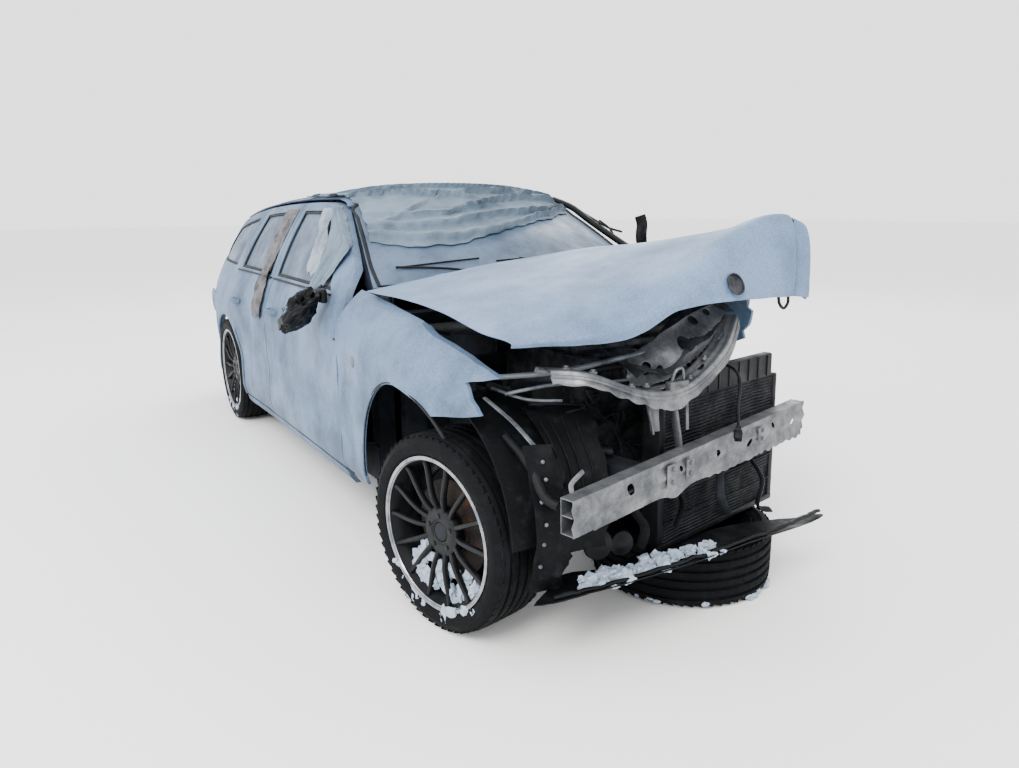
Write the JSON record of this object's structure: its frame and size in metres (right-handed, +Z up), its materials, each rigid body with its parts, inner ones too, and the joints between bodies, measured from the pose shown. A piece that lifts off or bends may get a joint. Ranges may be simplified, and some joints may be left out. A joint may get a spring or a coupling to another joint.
{
  "type": "crashed estate car",
  "caption": "Crashed estate car with its front torn off: crumpled bonnet, skewed beam, opening doors and tailgate, steered wheel and a wheel lying under the nose.",
  "frame": {"origin": "centre of the bounding box's bottom face, on the ground", "axes": "-Y is the front, +Y the back, +X the car's left side, +Z up"},
  "size_m": [2.08, 4.6821, 1.5008],
  "materials": {
    "paint": "weathered gloss",
    "primer_steel": "matt",
    "bare_alloy": "satin",
    "rusty_iron": "matt",
    "rim_black": "satin",
    "tyre": "matt",
    "glazing": "frosted",
    "black_plastic": "matt",
    "lamp_plastic": "gloss",
    "seat_cloth": "woven",
    "wet_cloth": "woven",
    "lead_rubber": "matt"
  },
  "bodies": {
    "body": {"floor_pan": "primer_steel", "side_frames": "primer_steel", "quarter_panels": "paint", "roof": "paint", "fixed_glass": "glazing", "rear_bumper": "black_plastic", "bulkhead": "primer_steel", "front_rails": "primer_steel", "wing_right": "paint", "wing_left": "paint", "arch_liners": "black_plastic", "engine_block": "rusty_iron", "front_subframe": "rusty_iron", "hub_left": "bare_alloy", "rear_axle": "rusty_iron", "exhaust": "rusty_iron", "radiator": "black_plastic", "slam_panel": "primer_steel", "bumper_beam": "bare_alloy", "undertray": "black_plastic", "loose_wheel": "rim_black", "loose_tyre": "tyre", "dashboard": "black_plastic", "steering_wheel": "black_plastic", "seats": "seat_cloth", "roof_cloth": "wet_cloth", "sensor_lead": "lead_rubber", "lead_connector": "black_plastic"},
    "bonnet": {"bonnet": "paint"},
    "tailgate": {"tailgate": "paint", "tailgate_glass": "glazing", "tail_lamps": "lamp_plastic"},
    "front_door_right": {"front_door_right": "paint", "front_glass_right": "glazing", "mirror_right": "black_plastic", "door_cloth_right": "wet_cloth"},
    "rear_door_right": {"rear_door_right": "paint", "rear_glass_right": "glazing"},
    "front_door_left": {"front_door_left": "paint", "front_glass_left": "glazing", "mirror_left": "black_plastic"},
    "rear_door_left": {"rear_door_left": "paint", "rear_glass_left": "glazing"},
    "steering": {"knuckle_right": "bare_alloy"},
    "front_right_wheel": {"front_wheel_right": "rim_black", "front_tyre_right": "tyre"},
    "rear_right_wheel": {"rear_wheel_right": "rim_black", "rear_tyre_right": "tyre"},
    "rear_left_wheel": {"rear_wheel_left": "rim_black", "rear_tyre_left": "tyre"}
  },
  "joints": [
    {"name": "bonnet_hinge", "type": "hinge", "parent": "body", "child": "bonnet", "pos_m": [0, -1.06203, 1.04151], "axis": [-1, 0, 0], "range_deg": [0, 45]},
    {"name": "tailgate_hinge", "type": "hinge", "parent": "body", "child": "tailgate", "pos_m": [0, 1.94043, 1.32435], "axis": [1, 0, 0], "range_deg": [0, 80]},
    {"name": "front_right_door_hinge", "type": "hinge", "parent": "body", "child": "front_door_right", "pos_m": [-0.865, -0.87316, 0.59959], "axis": [0, 0.0253, 0.9997], "range_deg": [0, 60]},
    {"name": "rear_right_door_hinge", "type": "hinge", "parent": "body", "child": "rear_door_right", "pos_m": [-0.865, 0.32246, 0.56932], "axis": [0, 0.0253, 0.9997], "range_deg": [0, 65]},
    {"name": "front_left_door_hinge", "type": "hinge", "parent": "body", "child": "front_door_left", "pos_m": [0.865, -0.87316, 0.59959], "axis": [0, -0.0253, -0.9997], "range_deg": [0, 60]},
    {"name": "rear_left_door_hinge", "type": "hinge", "parent": "body", "child": "rear_door_left", "pos_m": [0.865, 0.32246, 0.56932], "axis": [0, -0.0253, -0.9997], "range_deg": [0, 65]},
    {"name": "steering_kingpin", "type": "hinge", "parent": "body", "child": "steering", "pos_m": [-0.725, -1.76925, 0.3315], "axis": [0, 0, 1], "range_deg": [-46, 20]},
    {"name": "front_right_wheel_spin", "type": "hinge", "parent": "steering", "child": "front_right_wheel", "pos_m": [-0.79223, -1.78477, 0.3315], "axis": [-0.9744, -0.225, 0], "continuous": true},
    {"name": "rear_right_wheel_spin", "type": "hinge", "parent": "body", "child": "rear_right_wheel", "pos_m": [-0.785, 1.28075, 0.3315], "axis": [-1, 0, 0], "continuous": true},
    {"name": "rear_left_wheel_spin", "type": "hinge", "parent": "body", "child": "rear_left_wheel", "pos_m": [0.785, 1.28075, 0.3315], "axis": [1, 0, 0], "continuous": true}
  ]
}
